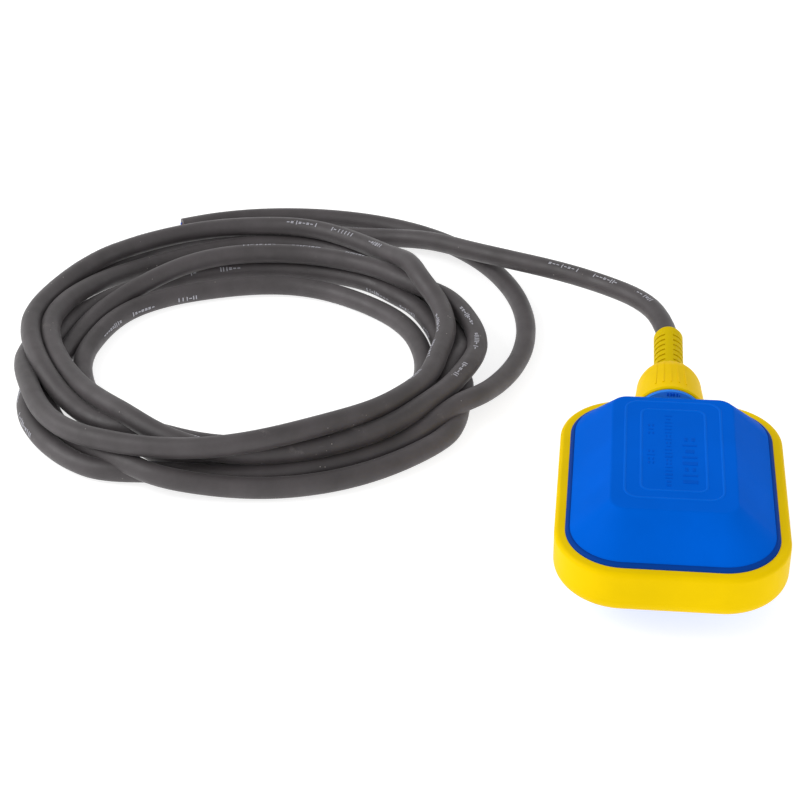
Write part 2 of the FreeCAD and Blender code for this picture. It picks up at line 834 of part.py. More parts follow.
def capsule_base():
    """The box's lower part, with four corner bosses, a rib for the microswitch and the cores' hole."""
    body = new_body("capsule_base")
    outside = new_sketch(body, "base_outside", "XY_Plane", "box_low")
    box_outline(outside)
    pad(body, outside, "box_seam - box_low", "base_block")
    inside = new_sketch(body, "base_inside", "XY_Plane", "box_low + box_wall")
    box_outline(inside, "box_wall")
    pocket(body, inside, "box_seam - box_low - box_wall", "base_hollow", reverse=True)
    bosses = new_sketch(body, "base_bosses", "XY_Plane", "box_low + box_wall / 2")
    for i, (x, y) in enumerate(boss_spots()):
        circle(bosses, x, y, "boss_radius", f"boss{i}")
    pad(body, bosses, "box_seam - box_low - box_wall / 2", "base_boss_pad")
    rib = new_sketch(body, "base_rib", "XY_Plane", "box_low + box_wall / 2")
    polygon(
        rib,
        [
            ("switch_left - rib_thick", "- switch_front"),
            ("switch_left - 0.02", "- switch_front"),
            ("switch_left - 0.02", "switch_length - switch_front - 1"),
            ("switch_left - rib_thick", "switch_length - switch_front - 1"),
        ],
    )
    pad(body, rib, "8", "base_rib_pad")
    holes = new_sketch(body, "base_holes", "XY_Plane", "box_seam")
    for i, (x, y) in enumerate(boss_spots()):
        circle(holes, x, y, "lid_screw_radius", f"hole{i}")
    pocket(body, holes, "11", "base_screw_holes")
    entry = new_sketch(body, "base_entry", "XZ_Plane", "- box_back - 1")
    circle(entry, "0", "float_height / 2", "cable_radius")
    pocket(body, entry, "4", "base_entry_hole", reverse=True)
    rib_holes = new_sketch(body, "base_rib_holes", "YZ_Plane", "switch_left")
    for i, y in enumerate(SWITCH_SCREW_Y):
        circle(rib_holes, y, "screw_up", "switch_screw_radius", f"rib{i}")
    pocket(body, rib_holes, "rib_thick + 0.2", "base_rib_drill")
    return body


def capsule_gasket():
    body = new_body("capsule_gasket")
    ring = new_sketch(body, "gasket_ring", "XY_Plane", "box_seam")
    box_outline(ring)
    pad(body, ring, "gasket_thick", "gasket_pad")
    opening = new_sketch(body, "gasket_opening", "XY_Plane", "box_seam")
    box_outline(opening, "box_wall")
    pocket(body, opening, "gasket_thick", "gasket_cut", reverse=True)
    return body


def capsule_lid():
    body = new_body("capsule_lid")
    underside = "box_seam + gasket_thick"
    outside = new_sketch(body, "lid_outside", "XY_Plane", underside)
    box_outline(outside)
    pad(body, outside, "box_high - box_seam - gasket_thick", "lid_block")
    inside = new_sketch(body, "lid_inside", "XY_Plane", underside)
    box_outline(inside, "box_wall")
    pocket(body, inside, "box_high - box_wall - box_seam - gasket_thick", "lid_hollow", reverse=True)
    bosses = new_sketch(body, "lid_bosses", "XY_Plane", underside)
    for i, (x, y) in enumerate(boss_spots()):
        circle(bosses, x, y, "boss_radius", f"boss{i}")
    pad(body, bosses, "box_high - box_seam - gasket_thick - 1", "lid_boss_pad")
    holes = new_sketch(body, "lid_holes", "XY_Plane", "box_high")
    for i, (x, y) in enumerate(boss_spots()):
        circle(holes, x, y, "lid_screw_radius + 0.3", f"hole{i}")
    pocket(body, holes, "8", "lid_screw_holes")
    return body


def lid_screws():
    head_seat = size("box_high")
    spots = [(size(x), size(y)) for x, y in boss_spots()]
    radius = size("lid_screw_radius")
    screws = [screw((x, y, head_seat), radius, 15, 2.6, 1.5, Z_AXIS) for x, y in spots]
    return shaped("lid_screws", Part.makeCompound(screws))


# ---- the ball, its track and the rocker lever --------------------------------------------------


def track_side(sign):
    """X of the ball track's inner wall face on one side."""
    return f"- ball_side {sign} ( ball_radius + track_gap )"


def ball_track():
    """Channel whose floor rises gently from the stop to the lever, with two cheeks for the pin."""
    body = new_body("ball_track")
    side = new_sketch(body, "track_side", "YZ_Plane", f"{track_side('-')} - track_wall")
    rise = "( ball_rest + track_floor_end ) * track_slope"
    fall = "( track_front + 1 - ball_rest ) * track_slope"
    base = "box_low + box_wall + 0.02"
    polygon(
        side,
        [
            ("- track_front", base),
            ("track_cheek_end", base),
            ("track_cheek_end", "track_height"),
            ("- track_front", "track_height"),
        ],
    )
    pad(body, side, "2 * ( ball_radius + track_gap + track_wall )", "track_block")
    run = new_sketch(body, "track_run", "YZ_Plane", track_side("-"))
    polygon(
        run,
        [
            ("- track_front - 1", f"track_floor - {fall}"),
            ("track_floor_end", f"track_floor + {rise}"),
            ("track_floor_end", "box_low"),
            ("track_cheek_end + 1", "box_low"),
            ("track_cheek_end + 1", "track_height + 1"),
            ("- track_front - 1", "track_height + 1"),
        ],
    )
    pocket(body, run, "2 * ( ball_radius + track_gap )", "track_channel", reverse=True)
    pin_hole = new_sketch(body, "track_pin_hole", "YZ_Plane", f"{track_side('-')} - track_wall - 1")
    circle(pin_hole, "pivot_back", "pivot_up", "pin_radius")
    across = "2 * ( ball_radius + track_gap + track_wall + 1 )"
    pocket(body, pin_hole, across, "track_pin_cut", reverse=True)
    return body


def steel_ball():
    """The tilt weight, just clear of the track's floor."""
    ball = doc.addObject("Part::Sphere", "steel_ball")
    ball.setExpression("Radius", linked("ball_radius"))
    ball.setExpression("Placement.Base.x", linked("- ball_side"))
    ball.setExpression("Placement.Base.y", linked("- ball_rest"))
    ball.setExpression("Placement.Base.z", linked("track_floor + ball_radius + 0.11"))
    return ball


def ball_bumper():
    return solid_box(
        "ball_bumper",
        ("- ball_side - bumper_half_width", "- ball_side + bumper_half_width"),
        ("- track_front", "- ball_rest - ball_radius - 0.2"),
        ("bumper_low", "track_height + 3"),
    )


def rocker_lever():
    """Upright paddle in the ball's way, on a hub, with a bar at the top that reaches the plunger."""
    left = "- ball_side - ball_radius + 0.2"
    right = "- ball_side + ball_radius - 0.2"
    width = f"( {right} ) - ( {left} )"
    hub = solid_rod("lever_hub", (left, "pivot_back", "pivot_up"), "lever_hub_radius", width, X_AXIS)
    paddle = solid_box(
        "lever_paddle",
        (left, right),
        ("pivot_back - lever_plate / 2", "pivot_back + lever_plate / 2"),
        ("pivot_up", "lever_bar_low"),
    )
    bar = solid_box(
        "lever_bar",
        (left, "lever_reach"),
        ("pivot_back - lever_plate / 2", "plunger_back + 2.5"),
        ("lever_bar_low", "lever_bar_low + lever_bar_thick"),
    )
    bore = solid_rod(
        "lever_bore",
        ("- ball_side - ball_radius", "pivot_back", "pivot_up"),
        "pin_radius + pin_gap",
        "2 * ball_radius",
        X_AXIS,
    )
    return cut("rocker_lever", fuse("lever_body", [hub, paddle, bar]), [bore])


def lever_pin():
    return solid_rod(
        "lever_pin",
        (f"{track_side('-')} - track_wall", "pivot_back", "pivot_up"),
        "pin_radius",
        "2 * ( ball_radius + track_gap + track_wall )",
        X_AXIS,
    )


# ---- the microswitch ---------------------------------------------------------------------------


def tab_box(name, level):
    """One flat terminal: its blade outside the case and its root inside."""
    middle = "switch_left + switch_thick / 2"
    end = "switch_length - switch_front"
    low = f"tab_lowest + {level} * tab_pitch - tab_thick / 2"
    return solid_box(
        name,
        (f"{middle} - tab_width / 2", f"{middle} + tab_width / 2"),
        (f"{end} - 6", f"{end} + tab_length"),
        (low, f"{low} + tab_thick"),
    )


def screw_holes(name):
    """Two cutters for the holes right across the microswitch."""
    return [
        solid_rod(
            f"{name}_{i}",
            ("switch_left - 1", y, "screw_up"),
            "switch_screw_radius + 0.05",
            "switch_thick + 2",
            X_AXIS,
        )
        for i, y in enumerate(SWITCH_SCREW_Y)
    ]


def switch_case():
    """The case, open on the cover's side, with the tabs' slots, the plunger's hole and screw holes."""
    low = "box_low + box_wall + 0.02"
    end = "switch_length - switch_front"
    outer = solid_box(
        "case_block",
        ("switch_left", "switch_left + switch_thick - switch_wall"),
        ("- switch_front", end),
        (low, "switch_top"),
    )
    inner = solid_box(
        "case_hollow",
        ("switch_left + switch_wall", "switch_left + switch_thick"),
        ("- switch_front + 5.5", f"{end} - 5"),
        (f"{low} + switch_wall", "switch_top - switch_wall"),
    )
    tabs = [tab_box(f"case_slot_{level}", level) for level in range(3)]
    plunger = solid_rod(
        "case_plunger_hole",
        ("switch_left + switch_thick / 2", "plunger_back", "20"),
        "plunger_radius + 0.08",
        "12",
        Z_AXIS,
    )
    screws = screw_holes("case_screw_hole")
    return cut("switch_case", outer, [inner, *tabs, plunger, *screws])


def switch_cover():
    plate = solid_box(
        "cover_plate",
        ("switch_left + switch_thick - switch_wall", "switch_left + switch_thick"),
        ("- switch_front", "switch_length - switch_front"),
        ("box_low + box_wall + 0.02", "switch_top"),
    )
    return cut("switch_cover", plate, screw_holes("cover_screw_hole"))


def switch_plunger():
    return solid_rod(
        "switch_plunger",
        ("switch_left + switch_thick / 2", "plunger_back", "plunger_low"),
        "plunger_radius",
        "plunger_top - plunger_low",
        Z_AXIS,
    )


def contact_blade():
    """Snap blade across the case, under the plunger, with a silver contact at its free end."""
    middle = "switch_left + switch_thick / 2"
    blade = solid_box(
        "blade_strip",
        (f"{middle} - 2", f"{middle} + 2"),
        ("blade_front", "blade_back"),
        ("blade_low", "blade_low + blade_thick"),
    )
    contact = solid_rod(
        "blade_contact", (middle, "blade_front + 2", "blade_low - 0.8"), "contact_radius", "2", Z_AXIS
    )
    return fuse("contact_blade", [blade, contact])


def switch_screws():
    head_seat = size("switch_left + switch_thick")
    height = size("screw_up")
    radius = size("switch_screw_radius")
    screws = [screw((head_seat, size(y), height), radius, 13, 2.4, 1.4, X_AXIS) for y in SWITCH_SCREW_Y]
    return shaped("switch_screws", Part.makeCompound(screws))


def crimp_connectors():
    """Three flag receptacles on the tabs, each with its barrel to the left for the core."""
    tab_left = size("switch_left + switch_thick / 2 - tab_width / 2")
    tab_end = size("switch_length - switch_front")
    width = size("tab_width")
    thick = size("tab_thick")
    side_wall = 0.7
    wall = 0.8
    barrel_left = size("barrel_left")
    crimps = []
    for level in range(3):
        z = size(f"tab_lowest + {level} * tab_pitch")
        shell_corner = Vector(tab_left - side_wall, tab_end + 0.4, z - thick / 2 - wall)
        shell = Part.makeBox(width + 2 * side_wall, 5.6, thick + 2 * wall, shell_corner)
        blade = Part.makeBox(width, 8, thick, Vector(tab_left, tab_end - 1, z - thick / 2))
        barrel_start = Vector(barrel_left, tab_end + size("barrel_out"), z)
        barrel_length = tab_left - 0.4 - barrel_left
        barrel = Part.makeCylinder(size("barrel_radius"), barrel_length, barrel_start, X_AXIS)
        crimps.append(shell.fuse(barrel).cut(blade).removeSplitter())
    return shaped("crimp_connectors", Part.makeCompound(crimps))


# ---- the free cable ----------------------------------------------------------------------------


def cable_lead():
    return shaped("cable_lead", bent_tube(LEAD_ROUTE, size("cable_radius"), report=True))


def ring_outline(reaches):
    """A closed smooth curve through a reach every 30 degrees about the coil's middle."""
    x = size("coil_middle_x")
    y = size("coil_middle_y")
    points = []
    for i, reach in enumerate(reaches):
        angle = 2 * math.pi * i / len(reaches)
        points.append(Vector(x + reach * math.cos(angle), y + reach * math.sin(angle), 0))
    curve = Part.BSplineCurve()
    curve.interpolate(points, PeriodicFlag=True)
    return Part.Wire(curve.toShape())


def cable_coil():
    """The outer shape of the coil: a low ring, wider at the front, rounded along its top."""
    outside = Part.Face(ring_outline(COIL_OUTSIDE))
    inside = Part.Face(ring_outline(COIL_INSIDE))
    height = size("coil_top")
    ring = outside.cut(inside).extrude(Vector(0, 0, height))
    top_edges = [e for e in ring.Edges if e.BoundBox.ZMin > height - 0.01]
    return shaped("cable_coil", ring.makeFillet(size("coil_round"), top_edges))


def build():
    keep(half_shell("upper_shell"), "upper_shell")
    lower = half_shell("lower_shell")
    turn_over(lower)
    keep(lower, "lower_shell")
    keep(edge_band(), "edge_band")
    for maker in (gland_spigot, gland_nut, strain_relief, gland_seal, gland_washer):
        keep(maker(), maker.__name__)
    for maker in (cable_entry, cable_clamp, clamp_screws):
        keep(maker(), maker.__name__)
    for label, place in zip(("core_closed", "core_open", "core_common"), core_places()):
        keep(core(label, place), label)
    for maker in (capsule_base, capsule_gasket, capsule_lid, lid_screws):
        keep(maker(), maker.__name__)
    for maker in (ball_track, steel_ball, ball_bumper, rocker_lever, lever_pin):
        keep(maker(), maker.__name__)
    for maker in (switch_case, switch_cover, switch_plunger, contact_blade, switch_screws, crimp_connectors):
        keep(maker(), maker.__name__)
    for level, label in enumerate(("terminal_closed", "terminal_open", "terminal_common")):
        keep(tab_box(label, level), label)
    keep(cable_lead(), "cable_lead")
    keep(cable_coil(), "cable_coil")


def check_and_write():
    """Stop on any failed object or bad shape, then write one file to a sub-part."""
    doc.recompute()
    for obj in doc.Objects:
        if "Invalid" in obj.State or "Error" in obj.State:
            raise RuntimeError(f"{obj.Label} failed: {obj.State}")
    for obj in parts:
        if obj.Shape.isNull() or not obj.Shape.isValid():
            raise RuntimeError(f"{obj.Label} has no valid shape")
    os.makedirs("parts", exist_ok=True)
    for obj in parts:
        obj.Shape.exportStep(os.path.join("parts", f"{obj.Label}.step"))
        print(f"{obj.Label}: {len(obj.Shape.Solids)} solid(s), {obj.Shape.Volume / 1000:.2f} cm3")


build()
check_and_write()
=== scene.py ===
import math
import random

import bpy
import numpy as np
from mathutils import Matrix, Vector


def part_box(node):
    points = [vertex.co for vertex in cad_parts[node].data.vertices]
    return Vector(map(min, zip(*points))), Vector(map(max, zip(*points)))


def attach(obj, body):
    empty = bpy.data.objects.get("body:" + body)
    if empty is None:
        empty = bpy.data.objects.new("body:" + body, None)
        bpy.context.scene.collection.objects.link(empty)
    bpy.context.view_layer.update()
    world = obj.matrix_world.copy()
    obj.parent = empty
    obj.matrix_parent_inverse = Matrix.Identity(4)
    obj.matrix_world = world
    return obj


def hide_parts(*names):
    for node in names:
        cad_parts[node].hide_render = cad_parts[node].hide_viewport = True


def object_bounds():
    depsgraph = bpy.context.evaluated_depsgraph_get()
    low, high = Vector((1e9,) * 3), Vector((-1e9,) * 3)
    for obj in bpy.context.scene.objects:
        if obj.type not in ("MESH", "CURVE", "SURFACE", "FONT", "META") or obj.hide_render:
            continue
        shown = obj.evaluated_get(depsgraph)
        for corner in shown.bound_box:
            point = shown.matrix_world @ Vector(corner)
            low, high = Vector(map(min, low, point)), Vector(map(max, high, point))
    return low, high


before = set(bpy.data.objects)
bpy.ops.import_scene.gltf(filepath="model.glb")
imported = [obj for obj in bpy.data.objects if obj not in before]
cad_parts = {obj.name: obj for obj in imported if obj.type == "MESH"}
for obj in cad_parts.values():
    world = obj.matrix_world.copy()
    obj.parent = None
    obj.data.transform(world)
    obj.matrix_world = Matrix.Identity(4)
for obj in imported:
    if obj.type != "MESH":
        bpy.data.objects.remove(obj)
cad_low, cad_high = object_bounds()

MM = 0.001
FLOAT = "float"

# ---- sizes, in millimetres unless said otherwise ----------------------------------------------

CABLE_RADIUS = 4.2

# The lead from the sleeve's mouth to the coil, as in the part's source.
LEAD_ROUTE = [
    (0.0, 112.0, 20.75),
    (-2.5, 127.0, 20.8),
    (-11.0, 141.5, 20.5),
    (-26.0, 154.0, 19.5),
    (-46.0, 167.0, 18.0),
    (-71.0, 180.5, 15.5),
    (-86.0, 187.5, 14.0),
]

# The coil's turns, from the lead to the cut end. Each turn has its reach from the coil's middle every
# 45 degrees, back right first and anticlockwise, and about how many strands it is let down from there.
COIL_MIDDLE = (-160.0, 126.0)
TURNS = [
    ((99, 90, 103, 100, 114, 98, 80, 68), (1, 0, 0, 0, 2, 2, 2, 2)),
    ((63, 80, 97, 107, 98, 80, 75, 56), (2, 2, 2, 2, 1, 1, 1, 0)),
    ((42, 42, 53, 82, 90, 94, 84, 74), (0, 0, 0, 0, 0, 0, 0, 1)),
    ((66, 79, 88, 102, 93, 96, 88, 79), (0, 0, 0, 1, 1, 1, 1, 1)),
    ((59, 56, 68, 91, 109, 108, 99, 67), (1, 1, 1, 0, 1, 1, 0, 0)),
    ((58, 56, 69, 95, 118, 97, 92, 101), (0, 0, 0, 0, 0, 0, 1, 0)),
    ((105, 106, 114), (0, 0, 0)),
]
COIL_SECTOR = 45  # degrees between two reaches
COIL_STEP = 5  # degrees between two points
COIL_START = 50  # where the lead hands over to the coil
COIL_SPAN = 2235  # degrees of coil from there to the cut end


# ---- small helpers ------------------------------------------------------------------------------


def add_mesh(name, points, faces, smooth=True):
    """A mesh object from points in metres."""
    mesh = bpy.data.meshes.new(name)
    mesh.from_pydata([tuple(p) for p in points], [], faces)
    mesh.validate()
    mesh.update()
    for polygon in mesh.polygons:
        polygon.use_smooth = smooth
    piece = bpy.data.objects.new(name, mesh)
    bpy.context.scene.collection.objects.link(piece)
    return piece


def finish_piece(piece, material, body=FLOAT):
    """Give a new piece its material and the body that it rides on."""
    piece.data.materials.append(material)
    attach(piece, body)
    return piece


def rounded_loop(half_width, front, back, radius, corner_steps=10):
    """Points and outward directions round a rectangle with round corners, anticlockwise."""
    corners = [
        (half_width - radius, back - radius, 0),
        (-half_width + radius, back - radius, 90),
        (-half_width + radius, front + radius, 180),
        (half_width - radius, front + radius, 270),
    ]
    points, outward = [], []
    for cx, cy, start in corners:
        for i in range(corner_steps + 1):
            angle = math.radians(start + 90 * i / corner_steps)
            direction = Vector((math.cos(angle), math.sin(angle), 0))
            points.append(Vector((cx, cy, 0)) + direction * radius)
            outward.append(direction)
    return points, outward


def swept_ring(name, loop, profile):
    """A closed ring: a profile of (outward, up) pairs carried round a loop."""
    points, outward = loop
    vertices = []
    for point, direction in zip(points, outward):
        for out, up in profile:
            vertices.append((point + direction * out + Vector((0, 0, up))) * MM)
    count, width = len(points), len(profile)
    faces = []
    for i in range(count):
        following = (i + 1) % count
        for k in range(width):
            after = (k + 1) % width
            faces.append(
                (i * width + k, following * width + k, following * width + after, i * width + after)
            )
    return add_mesh(name, vertices, faces)


# ---- materials ----------------------------------------------------------------------------------


class Finish:
    """A material and short ways to add its nodes."""

    def __init__(self, name):
        self.material = bpy.data.materials.new(name)
        self.material.use_nodes = True
        self.tree = self.material.node_tree
        self.shader = self.tree.nodes["Principled BSDF"]
        self.place = self.add("ShaderNodeTexCoord").outputs["Object"]

    def add(self, kind, settings=None, **inputs):
        node = self.tree.nodes.new(kind)
        for key, value in (settings or {}).items():
            setattr(node, key, value)
        for key, value in inputs.items():
            self.join(value, node.inputs[key.replace("_", " ")])
        return node

    def join(self, value, socket):
        """Link an output to a socket, or set the socket to a plain value."""
        if isinstance(value, bpy.types.NodeSocket):
            self.tree.links.new(value, socket)
        else:
            socket.default_value = value

    def noise(self, scale, detail=3.0, roughness=0.5):
        node = self.add(
            "ShaderNodeTexNoise", Vector=self.place, Scale=scale, Detail=detail, Roughness=roughness
        )
        return node.outputs["Fac"]

    def ramp(self, value, stops):
        """A colour ramp through (position, grey or colour) stops."""
        node = self.add("ShaderNodeValToRGB", Fac=value)
        elements = node.color_ramp.elements
        while len(elements) < len(stops):
            elements.new(0.5)
        for element, (position, colour) in zip(elements, stops):
            element.position = position
            element.color = (colour,) * 3 + (1,) if isinstance(colour, float) else (*colour, 1)
        return node.outputs["Color"]

    def mix(self, share, first, second):
        node = self.add("ShaderNodeMix", {"data_type": "RGBA"})
        for socket, value in (("Factor", share), ("A", first), ("B", second)):
            kinds = [s for s in node.inputs if s.name == socket and s.enabled]
            self.join(value, kinds[0])
        return next(s for s in node.outputs if s.enabled)

    def bump(self, height, distance, strength=1.0, normal=None):
        node = self.add("ShaderNodeBump", Height=height, Distance=distance, Strength=strength)
        if normal is not None:
            self.join(normal, node.inputs["Normal"])
        return node.outputs["Normal"]

    def set(self, **inputs):
        for key, value in inputs.items():
            self.join(value, self.shader.inputs[key.replace("_", " ")])


def rgb(red, green, blue):
    """A colour given as 0 to 255 in sRGB, as linear values."""

    def linear(value):
        share = value / 255
        return share / 12.92 if share <= 0.04045 else ((share + 0.055) / 1.055) ** 2.4

    return linear(red), linear(green), linear(blue)


def shade(colour, factor):
    return tuple(min(1.0, c * factor) for c in colour)


def moulded_plastic(name, colour, roughness=0.35, grain=1800, grain_depth=0.012, shine=0.3):
    """Injection-moulded plastic: fine grain, faint flow clouds and a few rubbed patches."""
    finish = Finish(name)
    clouds = finish.ramp(finish.noise(28, 4.0, 0.55), [(0.35, 0.0), (0.7, 1.0)])
    rubbed = finish.ramp(finish.noise(160, 6.0, 0.7), [(0.56, 0.0), (0.74, 1.0)])
    base = finish.mix(clouds, (*shade(colour, 0.93), 1), (*shade(colour, 1.04), 1))
    finish.set(Base_Color=base)
    dull = finish.mix(rubbed, (roughness,) * 3 + (1,), (roughness + 0.14,) * 3 + (1,))
    finish.set(Roughness=dull, Specular_IOR_Level=shine, IOR=1.2)
    fine = finish.bump(finish.noise(grain, 2.0), grain_depth * MM, 0.8)
    finish.set(Normal=finish.bump(finish.noise(90, 3.0), 0.05 * MM, 0.35, fine))
    return finish.material


def cable_rubber(name):
    """Matte black rubber jacket with talc dust, pale scuffs and faint extrusion marks."""
    finish = Finish(name)
    clouds = finish.ramp(finish.noise(45, 4.0, 0.6), [(0.3, 0.0), (0.75, 1.0)])
    base = finish.mix(clouds, (*rgb(58, 54, 55), 1), (*rgb(78, 73, 75), 1))
    scuffs = finish.ramp(finish.noise(75, 8.0, 0.72), [(0.63, 0.0), (0.76, 0.5)])
    base = finish.mix(scuffs, base, (*rgb(124, 118, 116), 1))
    cells = finish.add(
        "ShaderNodeTexVoronoi", {"feature": "F1"}, Vector=finish.place, Scale=420.0, Randomness=1.0
    )
    specks = finish.ramp(cells.outputs["Distance"], [(0.07, 1.0), (0.11, 0.0)])
    sparse = finish.ramp(finish.noise(150, 2.0), [(0.6, 0.0), (0.64, 1.0)])
    dust = finish.add("ShaderNodeMath", {"operation": "MULTIPLY"})
    finish.join(specks, dust.inputs[0])
    finish.join(sparse, dust.inputs[1])
    base = finish.mix(dust.outputs["Value"], base, (*rgb(150, 145, 140), 1))
    finish.set(Base_Color=base)
    dull = finish.ramp(finish.noise(120, 5.0, 0.6), [(0.3, 0.46), (0.7, 0.64)])
    finish.set(Roughness=dull, Specular_IOR_Level=0.5, Sheen_Weight=0.1, Sheen_Roughness=0.4)
    fine = finish.bump(finish.noise(1400, 3.0), 0.02 * MM, 0.7)
    finish.set(Normal=finish.bump(finish.noise(220, 3.0), 0.08 * MM, 0.4, fine))
    return finish.material


def metal(name, colour, roughness=0.28):
    """Turned or stamped metal with fine scratches."""
    finish = Finish(name)
    stains = finish.ramp(finish.noise(180, 5.0, 0.6), [(0.3, 0.0), (0.75, 1.0)])
    finish.set(Base_Color=finish.mix(stains, (*shade(colour, 0.82), 1), (*colour, 1)))
    dull = finish.ramp(finish.noise(700, 4.0), [(0.3, roughness), (0.75, roughness + 0.16)])
    finish.set(Roughness=dull, Metallic=1.0)
    stretched = finish.add("ShaderNodeMapping", Vector=finish.place, Scale=(1.0, 9.0, 1.0))
    lines = finish.add(
        "ShaderNodeTexNoise", Vector=stretched.outputs["Vector"], Scale=900.0, Detail=2.0
    )
    finish.set(Normal=finish.bump(lines.outputs["Fac"], 0.006 * MM, 0.6))
    return finish.material


blue_shell = moulded_plastic("blue_shell", rgb(0, 95, 213), 0.42, shine=0.03)
# A lighter copy of the shell's blue for the spigot collar: the extra lightness is painted light on its
# front face.
blue_neck = moulded_plastic("blue_neck", rgb(52, 136, 238), 0.42, shine=0.1)
# A darker copy of the shell's blue for the raised bars: the darkening is painted shade that stands in
# for the shading of the low relief.
blue_marks_painted_shade = moulded_plastic("blue_marks_painted_shade", rgb(0, 87, 202), 0.42, shine=0.05)
# A slightly lighter copy of the shell's blue for the raised frames: the extra lightness is a painted
# highlight on the low lines.
blue_relief_painted_light = moulded_plastic("blue_relief_painted_light", rgb(6, 102, 219), 0.42, shine=0.05)
# A darker copy of the shell's blue for the bead at the band: the darkening is painted shade of the gap.
blue_lip_painted_shade = moulded_plastic("blue_lip_painted_shade", rgb(8, 62, 150), 0.42, shine=0.1)
yellow_band = moulded_plastic("yellow_band", rgb(238, 201, 0), 0.4, 1500, 0.014, shine=0.12)
yellow_nut = moulded_plastic("yellow_nut", rgb(240, 200, 0), 0.42, 1700, shine=0.1)
yellow_sleeve = moulded_plastic("yellow_sleeve", rgb(218, 188, 2), 0.5, 1500, 0.016, shine=0.1)
capsule_grey = moulded_plastic("capsule_grey", rgb(120, 124, 128), 0.42)
track_white = moulded_plastic("track_white", rgb(226, 226, 220), 0.36)
switch_black = moulded_plastic("switch_black", rgb(28, 28, 30), 0.4)
plunger_red = moulded_plastic("plunger_red", rgb(190, 30, 26), 0.3)
seal_rubber = moulded_plastic("seal_rubber", rgb(38, 38, 40), 0.62, 1300, 0.02)
core_brown = moulded_plastic("core_brown", rgb(106, 62, 36), 0.44)
core_blue = moulded_plastic("core_blue", rgb(30, 74, 160), 0.44)
core_black = moulded_plastic("core_black", rgb(30, 30, 31), 0.44)
bright_steel = metal("bright_steel", rgb(205, 206, 208))
contact_brass = metal("contact_brass", rgb(206, 172, 96), 0.3)
jacket = cable_rubber("cable_jacket")
ink = moulded_plastic("print_ink", rgb(178, 178, 186), 0.55, 1500, 0.01)

NODE_FINISH = {
    "upper_shell": blue_shell,
    "lower_shell": blue_shell,
    "edge_band": yellow_band,
    # the spigot's blue is painted lighter, as painted light
    "gland_spigot": blue_neck,
    "gland_nut": yellow_nut,
    "strain_relief": yellow_sleeve,
    "gland_seal": seal_rubber,
    "gland_washer": yellow_nut,
    "cable_entry": jacket,
    "cable_clamp": capsule_grey,
    "clamp_screws": bright_steel,
    "core_closed": core_brown,
    "core_open": core_blue,
    "core_common": core_black,
    "capsule_base": capsule_grey,
    "capsule_gasket": seal_rubber,
    "capsule_lid": capsule_grey,
    "lid_screws": bright_steel,
    "ball_track": track_white,
    "steel_ball": bright_steel,
    "ball_bumper": seal_rubber,
    "rocker_lever": track_white,
    "lever_pin": bright_steel,
    "switch_case": switch_black,
    "switch_cover": switch_black,
    "switch_plunger": plunger_red,
    "contact_blade": contact_brass,
    "switch_screws": bright_steel,
    "crimp_connectors": contact_brass,
    "terminal_closed": contact_brass,
    "terminal_open": contact_brass,
    "terminal_common": contact_brass,
}
for node_name, finish_material in NODE_FINISH.items():
    node_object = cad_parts[node_name]
    node_object.data.materials.clear()
    node_object.data.materials.append(finish_material)


# ---- the cord -----------------------------------------------------------------------------------


def between(values, position):
    """A smooth curve through evenly spaced values, read at a position counted in steps."""
    last = len(values) - 1
    i = min(int(position), last - 1)
    share = position - i
    before, here, there, after = (values[min(max(k, 0), last)] for k in (i - 1, i, i + 1, i + 2))
    return 0.5 * (
        2 * here
        + (there - before) * share
        + (2 * before - 5 * here + 4 * there - after) * share**2
        + (3 * here - before - 3 * there + after) * share**3
    )


def coil_points():
    """The coil's turns before they settle, one point every few degrees."""
    reaches = [reach for turn, _ in TURNS for reach in turn]
    layers = [layer for _, turn in TURNS for layer in turn]
    points = []
    for i in range(COIL_SPAN // COIL_STEP + 1):
        degrees = COIL_START + i * COIL_STEP
        position = degrees / COIL_SECTOR - 1
        reach = between(reaches, position)
        height = CABLE_RADIUS * (1 + 2 * between(layers, position))
        angle = math.radians(degrees)
        points.append(
            (
                COIL_MIDDLE[0] + reach * math.cos(angle),
                COIL_MIDDLE[1] + reach * math.sin(angle),
                height,
            )
        )
    return points


def settled(points, pinned):
    """Let the strands down on the floor and on each other, a diameter apart. The first ones stay."""
    rounds = 200
    drop = 0.05  # millimetres down in each round
    stiffness, levelling, relax, tether = 0.25, 0.3, 0.5, 0.03  # shares made good in each round
    neighbours = 8  # points along the cord that don't push each other
    spacing = 2 * CABLE_RADIUS + 0.1
    line = np.array(points, float)
    drawn = line.copy()
    index = np.arange(len(line))
    apart = np.abs(index[:, None] - index[None, :]) > neighbours
    for _ in range(rounds):
        line[:, 2] -= drop
        smooth = (line[1:-3] + line[3:-1]) * 4 / 6 - (line[:-4] + line[4:]) / 6
        line[2:-2] += stiffness * (smooth - line[2:-2])
        line[1:-1, 2] += levelling * ((line[:-2, 2] + line[2:, 2]) / 2 - line[1:-1, 2])
        away = line[:, None, :] - line[None, :, :]
        distance = np.sqrt((away**2).sum(2)) + 1e-6
        touching = apart & (distance < spacing)
        push = np.where(touching, (spacing - distance) / distance, 0)
        shift = (away * push[:, :, None]).sum(1) / np.maximum(touching.sum(1), 1)[:, None]
        line += relax * shift
        line[:, :2] += tether * (drawn[:, :2] - line[:, :2])
        line[:, 2] = np.maximum(line[:, 2], CABLE_RADIUS)
        line[:pinned] = drawn[:pinned]
    return line


def cord_curve(name, points):
    """A round cord along one open NURBS spline with the given control points."""
    data = bpy.data.curves.new(name, "CURVE")
    data.dimensions = "3D"
    data.bevel_depth = CABLE_RADIUS * MM
    data.bevel_resolution = 6
    data.resolution_u = 4
    data.use_fill_caps = True
    spline = data.splines.new("NURBS")
    spline.points.add(len(points) - 1)
    for spline_point, point in zip(spline.points, points):
        spline_point.co = (*(Vector(point) * MM), 1)
    spline.order_u = 3
    spline.use_endpoint_u = True
    piece = bpy.data.objects.new(name, data)
    bpy.context.scene.collection.objects.link(piece)
    return piece


